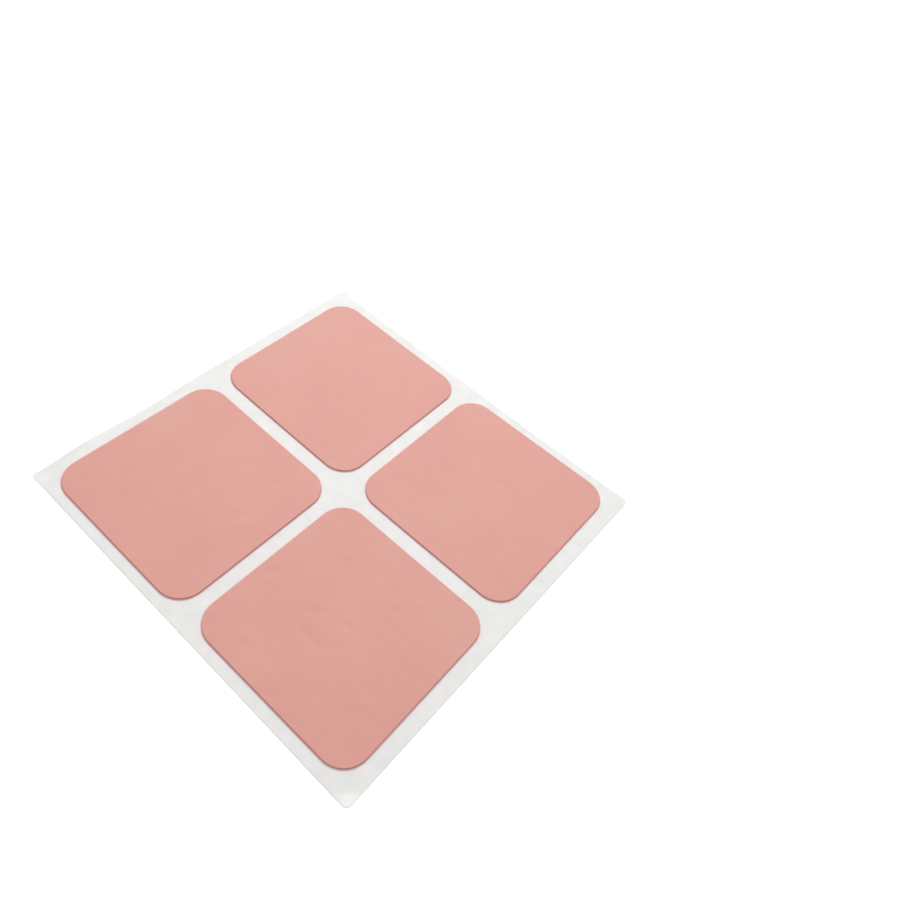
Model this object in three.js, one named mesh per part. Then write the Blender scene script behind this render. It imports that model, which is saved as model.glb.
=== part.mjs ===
// A sheet of transdermal patches: four square patches, die-cut side by side on one release liner.
// Each patch is a tinted backing film over a layer of tacky adhesive that carries the drug, and
// the liner is the siliconised paper that the adhesive is peeled from before use.
// Millimetres, +Z up. The origin is the centre of the liner's underside, and +X runs along its
// longer side.

import * as THREE from "three";

// One patch, as the die cuts it
const PATCH_LENGTH = 40;
const PATCH_WIDTH = 40;
const PATCH_CORNER_RADIUS = 5.5;

// The two layers of a patch
const ADHESIVE_THICKNESS = 0.15;
const ADHESIVE_BULGE = 0.05; // how far the soft adhesive creeps out past the cut
const BACKING_THICKNESS = 0.2;
const BACKING_EDGE_RADIUS = 0.08; // the die drags the film's top edge down into a small round

// How the patches lie on the sheet
const COLUMNS = 2;
const ROWS = 2;
const COLUMN_GAP = 3.4;
const ROW_GAP = 3.6;
const GRID_SHIFT = -0.15; // along X, from the middle of the liner
const GRID_TURN_DEG = 0.35; // the dies sit a little askew to the liner's edges

// The release liner
const LINER_THICKNESS = 0.12;
const LINER_CORNER_RADIUS = 0.8; // cut square, then blunted by handling
const SIDE_MARGIN = 3.3; // from the outer patches to the liner's ends, along X
const END_MARGIN = 2.45; // the same along Y

// Fineness of the round corners and of the film's rolled edge
const CORNER_STEPS = 8;
const EDGE_STEPS = 2;

// Spacing of the patches, and the liner that carries them
const columnPitch = PATCH_LENGTH + COLUMN_GAP;
const rowPitch = PATCH_WIDTH + ROW_GAP;
const gridLength = COLUMNS * PATCH_LENGTH + (COLUMNS - 1) * COLUMN_GAP;
const gridWidth = ROWS * PATCH_WIDTH + (ROWS - 1) * ROW_GAP;
const linerLength = gridLength + 2 * SIDE_MARGIN;
const linerWidth = gridWidth + 2 * END_MARGIN;

// A rectangle with round corners, centred on the origin, as a ring of points going round
// anticlockwise. A positive inset moves the whole outline inwards and tightens its corners.
function roundedRectangle(length, width, cornerRadius, inset = 0) {
  const x = length / 2 - cornerRadius;
  const y = width / 2 - cornerRadius;
  const r = cornerRadius - inset;
  const quarter = Math.PI / 2;
  const shape = new THREE.Shape();
  shape.absarc(x, y, r, 0, quarter);
  shape.absarc(-x, y, r, quarter, 2 * quarter);
  shape.absarc(-x, -y, r, 2 * quarter, 3 * quarter);
  shape.absarc(x, -y, r, 3 * quarter, 4 * quarter);
  return shape.getPoints(CORNER_STEPS / 2);
}

// A flat layer, as a closed solid. Its edge follows a section from bottom to top, given as
// levels: a height and the outline's inset there.
function layerGeometry(length, width, cornerRadius, levels) {
  const positions = [];
  const faces = [];
  const rings = levels.map(({ inset }) =>
    roundedRectangle(length, width, cornerRadius, inset),
  );
  const count = rings[0].length;
  rings.forEach((ring, level) => {
    ring.forEach(({ x, y }) => positions.push(x, y, levels[level].height));
  });

  // The edge, as a band of quads between each ring and the one above it
  for (let level = 0; level + 1 < rings.length; level++) {
    const lower = level * count;
    const upper = lower + count;
    for (let i = 0; i < count; i++) {
      const next = (i + 1) % count;
      faces.push(lower + i, lower + next, upper + next);
      faces.push(lower + i, upper + next, upper + i);
    }
  }

  // The underside and the top
  const top = (rings.length - 1) * count;
  for (const [a, b, c] of THREE.ShapeUtils.triangulateShape(rings[0], [])) {
    faces.push(c, b, a);
    faces.push(top + a, top + b, top + c);
  }

  const geometry = new THREE.BufferGeometry();
  geometry.setAttribute("position", new THREE.Float32BufferAttribute(positions, 3));
  geometry.setIndex(faces);
  geometry.computeVertexNormals();
  return geometry;
}

// Siliconised glassine: thin white paper, a little see-through, with a soft sheen
function releaseLiner() {
  const geometry = layerGeometry(linerLength, linerWidth, LINER_CORNER_RADIUS, [
    { height: 0, inset: 0 },
    { height: LINER_THICKNESS, inset: 0 },
  ]);
  const paper = new THREE.MeshStandardMaterial({ color: 0xefeeec, roughness: 0.6 });
  const liner = new THREE.Mesh(geometry, paper);
  liner.name = "release_liner";
  return liner;
}

// The drug-in-adhesive layer: a soft film of pressure-sensitive adhesive, cut with the backing
// and since crept out a little at mid height
function adhesiveLayer(name) {
  const geometry = layerGeometry(PATCH_LENGTH, PATCH_WIDTH, PATCH_CORNER_RADIUS, [
    { height: 0, inset: 0 },
    { height: ADHESIVE_THICKNESS / 2, inset: -ADHESIVE_BULGE },
    { height: ADHESIVE_THICKNESS, inset: 0 },
  ]);
  const tack = new THREE.MeshStandardMaterial({ color: 0xae7d7c, roughness: 0.35 });
  const adhesive = new THREE.Mesh(geometry, tack);
  adhesive.name = name;
  return adhesive;
}

// The backing film: smooth flesh-pink plastic, with a square lower edge on the adhesive and a
// quarter round at the top
function backingFilm(name) {
  const levels = [{ height: 0, inset: 0 }];
  for (let step = 0; step <= EDGE_STEPS; step++) {
    const angle = (step / EDGE_STEPS) * (Math.PI / 2);
    levels.push({
      height: BACKING_THICKNESS - BACKING_EDGE_RADIUS * (1 - Math.sin(angle)),
      inset: BACKING_EDGE_RADIUS * (1 - Math.cos(angle)),
    });
  }
  const geometry = layerGeometry(PATCH_LENGTH, PATCH_WIDTH, PATCH_CORNER_RADIUS, levels);
  const film = new THREE.MeshStandardMaterial({ color: 0xdfa599, roughness: 0.55 });
  const backing = new THREE.Mesh(geometry, film);
  backing.name = name;
  return backing;
}

// One patch, standing on the plane z = 0 of its own group
function patch(number) {
  const group = new THREE.Group();
  const adhesive = adhesiveLayer(`patch_${number}_adhesive_layer`);
  const backing = backingFilm(`patch_${number}_backing_film`);
  backing.position.z = ADHESIVE_THICKNESS;
  group.add(adhesive, backing);
  return group;
}

// The whole sheet: the liner, and the grid of patches on its upper face, numbered along the
// rows from the corner at -X -Y
const sheet = new THREE.Group();
sheet.add(releaseLiner());

const grid = new THREE.Group();
grid.position.set(GRID_SHIFT, 0, LINER_THICKNESS);
grid.rotation.z = THREE.MathUtils.degToRad(GRID_TURN_DEG);
for (let row = 0; row < ROWS; row++) {
  for (let column = 0; column < COLUMNS; column++) {
    const one = patch(row * COLUMNS + column + 1);
    one.position.x = (column - (COLUMNS - 1) / 2) * columnPitch;
    one.position.y = (row - (ROWS - 1) / 2) * rowPitch;
    grid.add(one);
  }
}
sheet.add(grid);

export default sheet;
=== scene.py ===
import math

import bpy
from mathutils import Matrix, Vector


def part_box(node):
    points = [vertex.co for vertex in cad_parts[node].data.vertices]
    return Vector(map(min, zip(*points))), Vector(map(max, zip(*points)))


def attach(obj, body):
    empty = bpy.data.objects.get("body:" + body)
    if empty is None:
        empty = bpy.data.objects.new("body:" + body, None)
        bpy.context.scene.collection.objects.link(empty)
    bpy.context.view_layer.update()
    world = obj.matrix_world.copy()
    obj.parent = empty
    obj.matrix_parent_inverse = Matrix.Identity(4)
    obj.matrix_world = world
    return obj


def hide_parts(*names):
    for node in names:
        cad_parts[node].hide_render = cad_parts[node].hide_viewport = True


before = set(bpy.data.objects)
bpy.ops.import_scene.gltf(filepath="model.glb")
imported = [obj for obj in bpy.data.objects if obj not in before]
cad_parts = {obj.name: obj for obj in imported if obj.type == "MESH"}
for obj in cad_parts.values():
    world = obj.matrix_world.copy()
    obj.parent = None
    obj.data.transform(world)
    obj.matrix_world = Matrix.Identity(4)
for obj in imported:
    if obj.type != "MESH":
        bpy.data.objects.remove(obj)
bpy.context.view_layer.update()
scene = bpy.context.scene


# Camera
# A phone held about 165 mm off, looking down over the sheet's near corner and rolled a little
# to the left. Its axis falls left of the picture's middle, which the shift gives back.
MM = 0.001

CAMERA_PLACE = Vector((59.36, -73.04, 135.14)) * MM
CAMERA_HEADING = math.radians(32.76)  # from +Y towards -X
CAMERA_PITCH = math.radians(50.65)  # below the horizon
CAMERA_ROLL = math.radians(12.22)
SENSOR_WIDTH = 36.0
FOCAL_LENGTH = 30.78
CAMERA_SHIFT = (0.0501, -0.0118)  # shares of the picture's width

camera = bpy.data.objects.new("camera", bpy.data.cameras.new("camera"))
camera.data.sensor_width = SENSOR_WIDTH
camera.data.lens = FOCAL_LENGTH
camera.data.shift_x, camera.data.shift_y = CAMERA_SHIFT
camera.data.clip_start = 10 * MM
camera.matrix_world = (
    Matrix.Translation(CAMERA_PLACE)
    @ Matrix.Rotation(CAMERA_HEADING, 4, "Z")
    @ Matrix.Rotation(math.pi / 2 - CAMERA_PITCH, 4, "X")
    @ Matrix.Rotation(CAMERA_ROLL, 4, "Z")
)
scene.collection.objects.link(camera)
scene.camera = camera


# White table and soft studio light
# A white laminate table top under one large softbox that stands behind the sheet, with the
# pale room filling the rest. The near edges of the patches fall in their own soft shade.
TABLE_SIDE = 6.0  # metres
TABLE_DROP = 0.02 * MM  # keeps the table clear of the liner's underside
TABLE_WHITE = "#F3F3F3"
TABLE_GLOW = 0.58  # what the camera sees above the lamps' own light, so that the table is white
ROOM_WHITE = "#FFFFFF"
ROOM_FILL = 0.56  # the room's share of the light, where 1 shows a colour as written

SOFTBOX_WATTS = 5.4
SOFTBOX_SIZE = (0.75, 0.5)
SOFTBOX_DISTANCE = 0.9
SOFTBOX_HEADING = math.radians(36)  # from +Y towards -X
SOFTBOX_HEIGHT = math.radians(45)  # over the table


def add(tree, kind, inputs=(), **settings):
    """Adds a node with its settings. Each input, by name or number, takes a value, a socket or
    another node's first output."""
    made = tree.nodes.new(kind)
    for name, value in settings.items():
        setattr(made, name, value)
    for key, value in dict(inputs).items():
        named = [socket for socket in made.inputs if socket.enabled and socket.name == key]
        socket = named[0] if named else made.inputs[key]
        if isinstance(value, bpy.types.Node):
            value = next(output for output in value.outputs if output.enabled)
        if isinstance(value, bpy.types.NodeSocket):
            tree.links.new(value, socket)
        else:
            socket.default_value = value
    return made


def linear(code):
    """An sRGB hex colour as the linear colour that a socket takes."""
    parts = [int(code[i : i + 2], 16) / 255 for i in (1, 3, 5)]
    return [p / 12.92 if p <= 0.04045 else ((p + 0.055) / 1.055) ** 2.4 for p in parts] + [1.0]


def seen_directly(tree):
    """1 for what the camera sees, straight or through gloss or glass, and 0 for lighting."""
    ray = add(tree, "ShaderNodeLightPath").outputs
    straight = {0: ray["Is Camera Ray"], 1: ray["Is Glossy Ray"]}
    gloss = add(tree, "ShaderNodeMath", straight, operation="MAXIMUM")
    glass = {0: gloss, 1: ray["Is Transmission Ray"]}
    return add(tree, "ShaderNodeMath", glass, operation="MAXIMUM")


# Satin white laminate: a plain matt white that keeps the sheet's shadow
laminate = bpy.data.materials.new("satin_white_laminate")
laminate.use_nodes = True
tree = laminate.node_tree
tree.nodes.clear()
white = add(tree, "ShaderNodeBsdfDiffuse", {"Color": linear(TABLE_WHITE)})
share = add(tree, "ShaderNodeMath", {0: seen_directly(tree), 1: TABLE_GLOW}, operation="MULTIPLY")
glow = add(tree, "ShaderNodeEmission", {"Strength": share})
surface = add(tree, "ShaderNodeAddShader", {0: white, 1: glow})
add(tree, "ShaderNodeOutputMaterial", {"Surface": surface})

half = TABLE_SIDE / 2
corners = [(-half, -half), (half, -half), (half, half), (-half, half)]
table_mesh = bpy.data.meshes.new("table")
table_mesh.from_pydata([(x, y, -TABLE_DROP) for x, y in corners], [], [(0, 1, 2, 3)])
table_mesh.materials.append(laminate)
table = bpy.data.objects.new("table", table_mesh)
scene.collection.objects.link(table)

# The room lights the sheet by its share, and shows as full white wherever the camera sees it
room = bpy.data.worlds.new("white_room")
room.use_nodes = True
tree = room.node_tree
tree.nodes.clear()
shares = {"Factor": seen_directly(tree), "A": ROOM_FILL, "B": 1.0}
strength = add(tree, "ShaderNodeMix", shares, data_type="FLOAT")
walls = add(tree, "ShaderNodeBackground", {"Color": linear(ROOM_WHITE), "Strength": strength})
add(tree, "ShaderNodeOutputWorld", {"Surface": walls})
scene.world = room

softbox = bpy.data.objects.new("softbox", bpy.data.lights.new("softbox", "AREA"))
softbox.data.shape = "RECTANGLE"
softbox.data.size, softbox.data.size_y = SOFTBOX_SIZE
softbox.data.energy = SOFTBOX_WATTS
softbox.matrix_world = (
    Matrix.Rotation(SOFTBOX_HEADING, 4, "Z")
    @ Matrix.Rotation(SOFTBOX_HEIGHT - math.pi / 2, 4, "X")
    @ Matrix.Translation((0, 0, SOFTBOX_DISTANCE))
)
scene.collection.objects.link(softbox)
scene.view_settings.view_transform = "Standard"


# Release liner
# One sheet of glassine, a thin hard paper, siliconised on its upper face and guillotined to
# size. It carries the patches, and it keeps the curl of its roll: the ends stand off the table.
liner_low, liner_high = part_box("release_liner")
LINER_LENGTH = liner_high.x - liner_low.x
LINER_WIDTH = liner_high.y - liner_low.y
LINER_THICKNESS = liner_high.z - liner_low.z
LINER_CORNER = 0.8 * MM
LINER_EDGE = 0.1 * MM  # the soft round that wear leaves on the cut edge
LINER_STEP = 0.7 * MM  # spacing of the mesh along the outline
LINER_RINGS = 60
LINER_LEVELS = 6
LINER_CORNER_CUTS = 6
SHARP_FROM = math.radians(40)  # a steeper turn than this shades as an edge

# What creeps out of a cut edge: the spacing of its lumps, their least and most share of the
# mean, and how fast it thins upwards
CREEP_WAVE = 2.5 * MM
CREEP_LUMPS = (0.4, 1.6)
CREEP_TAPER = 3.0

# How the whole sheet lies
ROLL_CURL = 0.55 * MM  # rise of both ends over the middle, from the liner's roll
LEFT_CURL = 0.5 * MM  # further rise of the corner at -X -Y
NEAR_SAG = 0.45 * MM  # how much lower the corner at +X -Y lies
CORNER_START = 0.25  # how far out from the middle the corners begin, as a share

# Where the bare margin at -X sags below that: place along Y, half length, depth
FREE_MARGIN = 2.9 * MM
MARGIN_BEND = 1.2  # 1 is a straight slope from the patches to the edge, and more is a curve
MARGIN_SAGS = ((-17.0 * MM, 16.0 * MM, 0.55 * MM), (-44.0 * MM, 13.0 * MM, 0.8 * MM))

# The tip at +X -Y, which is creased and bent up
CREASE_DEPTH = 2.6 * MM  # from the tip
CREASE_HEADING = math.radians(-38)  # of the tip, as seen from the crease
CREASE_SLOPE = 0.22  # rise over distance past the crease

LINER_WHITE = "#F2F1EF"
LINER_CLOUD = "#E2E2DF"
CLOUD_SIZE = 3.0 * MM  # fibre flocs that show as clouds against the light
FIBRE_SIZE = 0.35 * MM  # drawn far coarser than real fibres, which are 0.02 mm wide, to show
FIBRE_RELIEF = 0.004 * MM
LINER_ROUGHNESS = (0.45, 0.6)  # in the clear paper and in its clouds
GLASSINE_IOR = 1.5

# Geometry Nodes for one flat layer with round corners, closed all round. A cylinder's rings are
# drawn out to the outline, and crowd together at the cut edge so that it shades crisply.
die_cut_layer = bpy.data.node_groups.new("die_cut_layer", "GeometryNodeTree")
tree = die_cut_layer
LAYER_INPUTS = {
    "NodeSocketFloat": (
        "Length",
        "Width",
        "Corner Radius",
        "Thickness",
        "Edge Radius",
        "Creep",
        "Step",
        "Turn",
    ),
    "NodeSocketInt": ("Rings", "Levels", "Corner Cuts"),
    "NodeSocketVector": ("Middle",),
    "NodeSocketMaterial": ("Material",),
}
for kind, names in LAYER_INPUTS.items():
    for name in names:
        tree.interface.new_socket(name, in_out="INPUT", socket_type=kind)
tree.interface.new_socket("Layer", in_out="OUTPUT", socket_type="NodeSocketGeometry")
size = add(tree, "NodeGroupInput").outputs
MATH = "ShaderNodeMath"
VECTOR = "ShaderNodeVectorMath"

# The outline: a rectangle, its corners rounded, its sides cut into even steps
sides = {"Width": size["Length"], "Height": size["Width"]}
rectangle = add(tree, "GeometryNodeCurvePrimitiveQuadrilateral", sides, mode="RECTANGLE")
fillet = {"Curve": rectangle, "Radius": size["Corner Radius"], "Count": size["Corner Cuts"]}
rounded = add(tree, "GeometryNodeFilletCurve", fillet, mode="POLY")
place = add(tree, "GeometryNodeInputPosition")
index = add(tree, "GeometryNodeInputIndex")
following = add(
    tree, "GeometryNodeOffsetPointInCurve", {"Point Index": index, "Offset": 1}
).outputs["Point Index"]
next_place = add(
    tree, "GeometryNodeFieldAtIndex", {"Value": place, "Index": following}, data_type="FLOAT_VECTOR"
)
side = add(tree, VECTOR, {0: place, 1: next_place}, operation="DISTANCE")
cuts = add(tree, MATH, {0: side, 1: size["Step"]}, operation="DIVIDE")
outline = add(tree, "GeometryNodeSubdivideCurve", {"Curve": rounded, "Cuts": cuts})
count = add(
    tree, "GeometryNodeAttributeDomainSize", {"Geometry": outline}, component="CURVE"
).outputs["Point Count"]

# A cylinder with one column of points for each point of the outline, and for each of its points
# the level (0 to 1), the reach from the middle (0 to 1) and the column
drum = add(
    tree,
    "GeometryNodeMeshCylinder",
    {
        "Vertices": count,
        "Side Segments": size["Levels"],
        "Fill Segments": size["Rings"],
        "Radius": 1.0,
        "Depth": 1.0,
    },
    fill_type="TRIANGLE_FAN",
).outputs["Mesh"]
axes = add(tree, "ShaderNodeSeparateXYZ", {"Vector": place}).outputs
level = add(tree, MATH, {0: axes["Z"], 1: 0.5}, operation="ADD")
flat = add(tree, "ShaderNodeCombineXYZ", {"X": axes["X"], "Y": axes["Y"]})
radius = add(tree, VECTOR, {0: flat}, operation="LENGTH")
quarter = add(tree, MATH, {0: radius, 1: math.pi / 2}, operation="MULTIPLY")
reach = add(tree, MATH, {0: quarter}, operation="SINE")
angle = add(tree, MATH, {0: axes["Y"], 1: axes["X"]}, operation="ARCTAN2")
turn = add(tree, MATH, {0: angle, 1: 2 * math.pi}, operation="DIVIDE")
step = add(tree, MATH, {0: turn, 1: count}, operation="MULTIPLY")
whole_step = add(tree, MATH, {0: step}, operation="ROUND")
column = add(tree, MATH, {0: whole_step, 1: count}, operation="FLOORED_MODULO")

# The outline's point and outward direction at each column
tangent = add(tree, "GeometryNodeInputTangent")
rim_at = {"Geometry": outline, "Value": place, "Index": column}
rim = add(tree, "GeometryNodeSampleIndex", rim_at, data_type="FLOAT_VECTOR")
along_at = {"Geometry": outline, "Value": tangent, "Index": column}
along = add(tree, "GeometryNodeSampleIndex", along_at, data_type="FLOAT_VECTOR")
outward = add(tree, VECTOR, {0: along, 1: (0.0, 0.0, 1.0)}, operation="CROSS_PRODUCT")

# The section of the edge: a quarter round at the top, whose inset is the radius less the root of
# its square less the height into it squared
below = add(tree, MATH, {0: 1.0, 1: level}, operation="SUBTRACT")
depth = add(tree, MATH, {0: below, 1: size["Thickness"]}, operation="MULTIPLY")
into = add(tree, MATH, {0: size["Edge Radius"], 1: depth}, operation="SUBTRACT")
above = add(tree, MATH, {0: into, 1: 0.0}, operation="MAXIMUM")
above_square = add(tree, MATH, {0: above, 1: above}, operation="MULTIPLY")
radius_square = add(tree, MATH, {0: size["Edge Radius"], 1: 2.0}, operation="POWER")
left_over = add(tree, MATH, {0: radius_square, 1: above_square}, operation="SUBTRACT")
safe = add(tree, MATH, {0: left_over, 1: 0.0}, operation="MAXIMUM")
root = add(tree, MATH, {0: safe}, operation="SQRT")
inset = add(tree, MATH, {0: size["Edge Radius"], 1: root}, operation="SUBTRACT")

# and soft material crept out in uneven lumps, widest at the foot and gone at the top
foot = add(tree, MATH, {0: below, 1: CREEP_TAPER}, operation="POWER")
lump = add(
    tree, "ShaderNodeTexNoise", {"Vector": rim, "Scale": 1 / CREEP_WAVE, "Detail": 2.0}
)
lumps = {"Value": lump, "To Min": CREEP_LUMPS[0], "To Max": CREEP_LUMPS[1]}
uneven = add(tree, "ShaderNodeMapRange", lumps)
lumpy = add(tree, MATH, {0: uneven, 1: size["Creep"]}, operation="MULTIPLY")
creep = add(tree, MATH, {0: lumpy, 1: foot}, operation="MULTIPLY")

# Every point drawn to its place, and the layer turned and set on what carries it
shift = add(tree, MATH, {0: creep, 1: inset}, operation="SUBTRACT")
push = add(tree, VECTOR, {0: outward, "Scale": shift}, operation="SCALE")
edge = add(tree, VECTOR, {0: rim, 1: push}, operation="ADD")
drawn = add(tree, VECTOR, {0: edge, "Scale": reach}, operation="SCALE")
turned_by = {"Vector": drawn, "Angle": size["Turn"]}
turned = add(tree, "ShaderNodeVectorRotate", turned_by, rotation_type="Z_AXIS")
raised = add(tree, MATH, {0: level, 1: size["Thickness"]}, operation="MULTIPLY")
height = add(tree, "ShaderNodeCombineXYZ", {"Z": raised})
stood = add(tree, VECTOR, {0: turned, 1: height}, operation="ADD")
laid = add(tree, VECTOR, {0: stood, 1: size["Middle"]}, operation="ADD")
named = {"Geometry": drum, "Name": "level", "Value": level}
marked = add(tree, "GeometryNodeStoreNamedAttribute", named, data_type="FLOAT", domain="POINT")
body = add(tree, "GeometryNodeSetPosition", {"Geometry": marked, "Position": laid})
smooth = add(tree, "GeometryNodeSetShadeSmooth", {"Geometry": body})
whole = add(tree, "GeometryNodeRealizeInstances", {"Geometry": smooth})
dress = {"Geometry": whole, "Material": size["Material"]}
add(tree, "NodeGroupOutput", {"Layer": add(tree, "GeometryNodeSetMaterial", dress)})


def lie(x, y):
    """How far the sheet's underside stands off the table."""
    along = x / (LINER_LENGTH / 2)
    across = y / (LINER_WIDTH / 2)
    left = max(0.0, (-along - across) / 2 - CORNER_START) / (1 - CORNER_START)
    near = max(0.0, (along - across) / 2 - CORNER_START) / (1 - CORNER_START)
    return max(0.0, ROLL_CURL * along**2 + LEFT_CURL * left**2 - NEAR_SAG * near**2)


def cut_layer(name, node, **sizes):
    """One layer as a plain mesh, in place of its node: grown by the tree, then bent with the
    sheet."""
    piece = bpy.data.objects.new(name, bpy.data.meshes.new(name))
    scene.collection.objects.link(piece)
    grow = piece.modifiers.new("die_cut_layer", "NODES")
    grow.node_group = die_cut_layer
    for item in die_cut_layer.interface.items_tree:
        if item.in_out == "INPUT":
            grow[item.identifier] = sizes[item.name.lower().replace(" ", "_")]
    bpy.context.view_layer.update()
    grown = piece.evaluated_get(bpy.context.evaluated_depsgraph_get())
    mesh = bpy.data.meshes.new_from_object(grown)
    piece.modifiers.clear()
    piece.data = mesh
    mesh.materials.clear()  # the tree leaves an empty slot before the material's
    mesh.materials.append(sizes["material"])
    mesh.polygons.foreach_set("material_index", [0] * len(mesh.polygons))
    for vertex in mesh.vertices:
        vertex.co.z += lie(vertex.co.x, vertex.co.y)
    mesh.set_sharp_from_angle(angle=SHARP_FROM)
    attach(piece, "root")
    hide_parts(node)
    return piece


# Siliconised glassine: dense beaten fibre, so it clouds faintly and has a soft satin sheen
glassine = bpy.data.materials.new("satin_siliconised_glassine")
glassine.use_nodes = True
tree = glassine.node_tree
tree.nodes.clear()
place = add(tree, "ShaderNodeTexCoord").outputs["Object"]
flocs = {"Vector": place, "Scale": 1 / CLOUD_SIZE, "Detail": 4.0}
clouds = add(tree, "ShaderNodeTexNoise", flocs)
shades = {"Factor": clouds, "A": linear(LINER_WHITE), "B": linear(LINER_CLOUD)}
white = add(tree, "ShaderNodeMix", shades, data_type="RGBA")
fibres = {"Vector": place, "Scale": 1 / FIBRE_SIZE, "Detail": 3.0}
felt = add(tree, "ShaderNodeTexNoise", fibres)
relief = add(tree, "ShaderNodeBump", {"Height": felt, "Distance": FIBRE_RELIEF})
sheen = {"Value": clouds, "To Min": LINER_ROUGHNESS[0], "To Max": LINER_ROUGHNESS[1]}
satin = add(tree, "ShaderNodeMapRange", sheen)
paper = {"Base Color": white, "Roughness": satin, "IOR": GLASSINE_IOR, "Normal": relief}
surface = add(tree, "ShaderNodeBsdfPrincipled", paper)
add(tree, "ShaderNodeOutputMaterial", {"Surface": surface})

liner = cut_layer(
    "liner_sheet",
    "release_liner",
    length=LINER_LENGTH,
    width=LINER_WIDTH,
    corner_radius=LINER_CORNER,
    thickness=LINER_THICKNESS,
    edge_radius=LINER_EDGE,
    creep=0.0,
    step=LINER_STEP,
    turn=0.0,
    rings=LINER_RINGS,
    levels=LINER_LEVELS,
    corner_cuts=LINER_CORNER_CUTS,
    middle=(0.0, 0.0, liner_low.z),
    material=glassine,
)

# The bare margin sags between the patches' stiff edges, down to the table at most, and the tip
# bends up from its crease
tip_direction = Vector((math.cos(CREASE_HEADING), math.sin(CREASE_HEADING)))
tip = Vector((liner_high.x, liner_low.y))
for vertex in liner.data.vertices:
    place = vertex.co.xy
    out = max(0.0, liner_low.x + FREE_MARGIN - place.x) / FREE_MARGIN
    sag = 0.0
    for middle, half_length, depth in MARGIN_SAGS:
        near = max(0.0, 1 - abs(place.y - middle) / half_length)
        sag += depth * math.sin(near * math.pi / 2) ** 2
    vertex.co.z -= min(sag * out**MARGIN_BEND, lie(place.x, place.y))
    past_crease = CREASE_DEPTH - (tip - place).dot(tip_direction)
    vertex.co.z += CREASE_SLOPE * max(0.0, past_crease)


# Adhesive layers
# A soft acrylic adhesive with the drug mixed in, coated on the film and cut with it. It grips
# the liner lightly, and over the months it creeps out past the cut as a thin uneven skirt.
PATCHES = (1, 2, 3, 4)
PATCH_SIDE = 40.0 * MM
PATCH_CORNER = 5.5 * MM
PATCH_TURN = math.radians(0.35)  # the dies sit a little askew to the liner
PATCH_STEP = 0.6 * MM  # spacing of the mesh along the outline
PATCH_RINGS = 26
CORNER_CUTS = 14
ADHESIVE_LEVELS = 8
ADHESIVE_CREEP = 0.32 * MM  # mean width of the skirt at its foot

ADHESIVE_TINT = "#BC8389"
ADHESIVE_DARK = "#AA6F76"
ADHESIVE_THIN_AND_SHADE = "#F3D3D3"  # the thin skirt where the liner shows through, partly painted contact shade and painted pink reflected light
THIN_AND_SHADE_BELOW = 0.9  # share of the layer's height under which it starts to pale
ADHESIVE_MOTTLE = 0.6 * MM  # uneven drug and air in the layer
ADHESIVE_RIPPLE = 0.01 * MM
ADHESIVE_ROUGHNESS = 0.3
ACRYLIC_IOR = 1.47

# Acrylic adhesive: rubbery and tacky, so its bare skirt glistens. It is darker than the film
# against the cut, and pales outwards to a pinkish white as it thins over the white liner, partly
# painted contact shade and painted pink reflected light
acrylic = bpy.data.materials.new("tacky_acrylic_adhesive")
acrylic.use_nodes = True
tree = acrylic.node_tree
tree.nodes.clear()
place = add(tree, "ShaderNodeTexCoord").outputs["Object"]
patches = {"Vector": place, "Scale": 1 / ADHESIVE_MOTTLE, "Detail": 3.0}
mottle = add(tree, "ShaderNodeTexNoise", patches)
shades = {"Factor": mottle, "A": linear(ADHESIVE_TINT), "B": linear(ADHESIVE_DARK)}
thick = add(tree, "ShaderNodeMix", shades, data_type="RGBA")
height = add(tree, "ShaderNodeAttribute", attribute_name="level").outputs["Fac"]
# Towards its foot the skirt pales to a pinkish white: thin adhesive over the liner, with painted
# contact shade and painted pink reflected light round each patch
body = add(tree, "ShaderNodeMapRange", {"Value": height, "From Max": THIN_AND_SHADE_BELOW})
layers = {"Factor": body, "A": linear(ADHESIVE_THIN_AND_SHADE), "B": thick}
tint = add(tree, "ShaderNodeMix", layers, data_type="RGBA")
ripple = add(tree, "ShaderNodeBump", {"Height": mottle, "Distance": ADHESIVE_RIPPLE})
tack = {"Base Color": tint, "Roughness": ADHESIVE_ROUGHNESS, "IOR": ACRYLIC_IOR, "Normal": ripple}
surface = add(tree, "ShaderNodeBsdfPrincipled", tack)
add(tree, "ShaderNodeOutputMaterial", {"Surface": surface})

for number in PATCHES:
    node = f"patch_{number}_adhesive_layer"
    low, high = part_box(node)
    adhesive = cut_layer(
        f"adhesive_{number}",
        node,
        length=PATCH_SIDE,
        width=PATCH_SIDE,
        corner_radius=PATCH_CORNER,
        thickness=high.z - low.z,
        edge_radius=0.0,
        creep=ADHESIVE_CREEP,
        step=PATCH_STEP,
        turn=PATCH_TURN,
        rings=PATCH_RINGS,
        levels=ADHESIVE_LEVELS,
        corner_cuts=CORNER_CUTS,
        middle=((low.x + high.x) / 2, (low.y + high.y) / 2, low.z),
        material=acrylic,
    )


# Backing films
# The side that shows on the skin: flesh-pink polyethylene film, calendered matt, laminated to
# the adhesive. The die drags its top edge down into a small round as it cuts.
FILM_EDGE = 0.12 * MM
FILM_LEVELS = 10

# Fingernail dents in one patch: place, half length and half width, heading from +X, all in mm
# and degrees
DENTED_PATCH = 2
DENTED_RINGS = 80
DENT_DEPTH = 0.06 * MM
DENTED_ABOVE = 0.99  # share of the film's height, so that its top face alone is dented
DENTS = (
    (15.8, -24.1, 2.4, 1.2, 38),
    (22.6, -21.7, 2.0, 1.1, 15),
    (18.0, -28.1, 1.5, 1.0, 10),
    (21.0, -28.4, 1.6, 1.1, 0),
)

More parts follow.
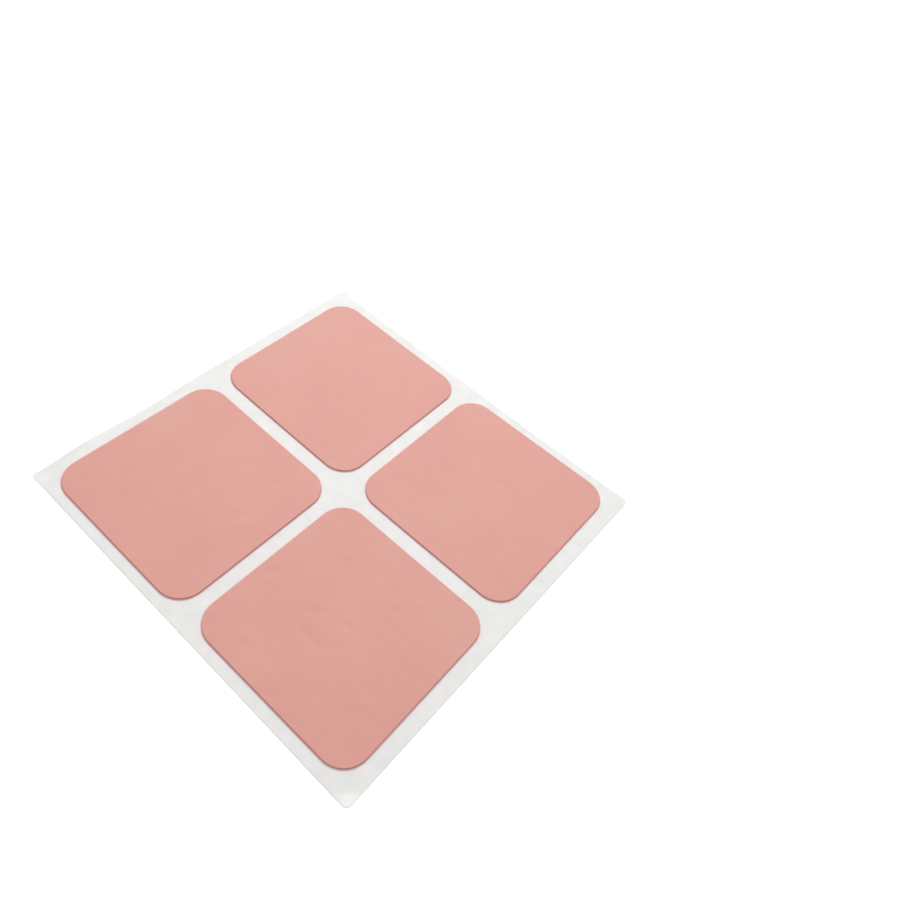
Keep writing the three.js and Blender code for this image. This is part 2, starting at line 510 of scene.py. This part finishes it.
FILM_PINK = "#DDA093"
FILM_ROSE = "#DB988D"
FILM_CUT_SHADE = "#B97F85"  # painted shade: the cut edge in a darker mauve, so that it reads as a shaded line
CUT_SHADE_BELOW = 0.5  # share of the film's height up to which the painted shade is whole
FILM_GRAIN = 0.25 * MM  # the matt roll's texture, drawn coarser than the real 0.1 mm to show
FILM_GRAIN_RELIEF = 0.006 * MM
FILM_BLOTCH = 12.0 * MM  # patches of slightly uneven pigment
BLOTCH_SPREAD = (0.25, 0.75)  # the noise values that are all pink and all rose
BLOTCH_SEED = 2.0  # picks where the blotches fall
FILM_WAVE = 3.0 * MM  # shallow waves from handling
FILM_WAVE_RELIEF = 0.1 * MM
FILM_ROUGHNESS = (0.5, 0.66)  # in the grain's hollows and on its tops
POLYETHYLENE_IOR = 1.51

# Matt polyethylene: nearly even pigment, a broad soft sheen, and a fine grain that kills
# reflections
polyethylene = bpy.data.materials.new("matt_pink_polyethylene_film")
polyethylene.use_nodes = True
tree = polyethylene.node_tree
tree.nodes.clear()
place = add(tree, "ShaderNodeTexCoord").outputs["Object"]
pigment = {"Vector": place, "W": BLOTCH_SEED, "Scale": 1 / FILM_BLOTCH, "Detail": 2.0}
cloudy = add(tree, "ShaderNodeTexNoise", pigment, noise_dimensions="4D")
spread = {"Value": cloudy, "From Min": BLOTCH_SPREAD[0], "From Max": BLOTCH_SPREAD[1]}
blotch = add(tree, "ShaderNodeMapRange", spread)
shades = {"Factor": blotch, "A": linear(FILM_PINK), "B": linear(FILM_ROSE)}
face = add(tree, "ShaderNodeMix", shades, data_type="RGBA")
height = add(tree, "ShaderNodeAttribute", attribute_name="level").outputs["Fac"]
# The film's side wall is painted a darker mauve below mid height, fading into the face's pink
# above: painted shade along the cut edge
cut_shade_fade = add(tree, "ShaderNodeMapRange", {"Value": height, "From Min": CUT_SHADE_BELOW})
shades = {"Factor": cut_shade_fade, "A": linear(FILM_CUT_SHADE), "B": face}
pink = add(tree, "ShaderNodeMix", shades, data_type="RGBA")
roll = {"Vector": place, "Scale": 1 / FILM_GRAIN, "Detail": 3.0}
grain = add(tree, "ShaderNodeTexNoise", roll)
handling = {"Vector": place, "Scale": 1 / FILM_WAVE, "Detail": 1.0}
waves = add(tree, "ShaderNodeTexNoise", handling)
matt = add(tree, "ShaderNodeBump", {"Height": grain, "Distance": FILM_GRAIN_RELIEF})
both = {"Height": waves, "Distance": FILM_WAVE_RELIEF, "Normal": matt}
waved = add(tree, "ShaderNodeBump", both)
sheen = {"Value": grain, "To Min": FILM_ROUGHNESS[0], "To Max": FILM_ROUGHNESS[1]}
satin = add(tree, "ShaderNodeMapRange", sheen)
film = {"Base Color": pink, "Roughness": satin, "IOR": POLYETHYLENE_IOR, "Normal": waved}
surface = add(tree, "ShaderNodeBsdfPrincipled", film)
add(tree, "ShaderNodeOutputMaterial", {"Surface": surface})

for number in PATCHES:
    node = f"patch_{number}_backing_film"
    low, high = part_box(node)
    backing = cut_layer(
        f"film_{number}",
        node,
        length=PATCH_SIDE,
        width=PATCH_SIDE,
        corner_radius=PATCH_CORNER,
        thickness=high.z - low.z,
        edge_radius=FILM_EDGE,
        creep=0.0,
        step=PATCH_STEP,
        turn=PATCH_TURN,
        rings=DENTED_RINGS if number == DENTED_PATCH else PATCH_RINGS,
        levels=FILM_LEVELS,
        corner_cuts=CORNER_CUTS,
        middle=((low.x + high.x) / 2, (low.y + high.y) / 2, low.z),
        material=polyethylene,
    )
    if number == DENTED_PATCH:
        dented = backing.data

level = dented.attributes["level"].data
for x, y, half_length, half_width, heading in DENTS:
    to_dent = Matrix.Rotation(-math.radians(heading), 2)
    for vertex in dented.vertices:
        place = to_dent @ (vertex.co.xy - Vector((x, y)) * MM)
        spread = (place.x / half_length) ** 2 + (place.y / half_width) ** 2
        if level[vertex.index].value > DENTED_ABOVE:
            vertex.co.z -= DENT_DEPTH * math.exp(-spread / MM**2)
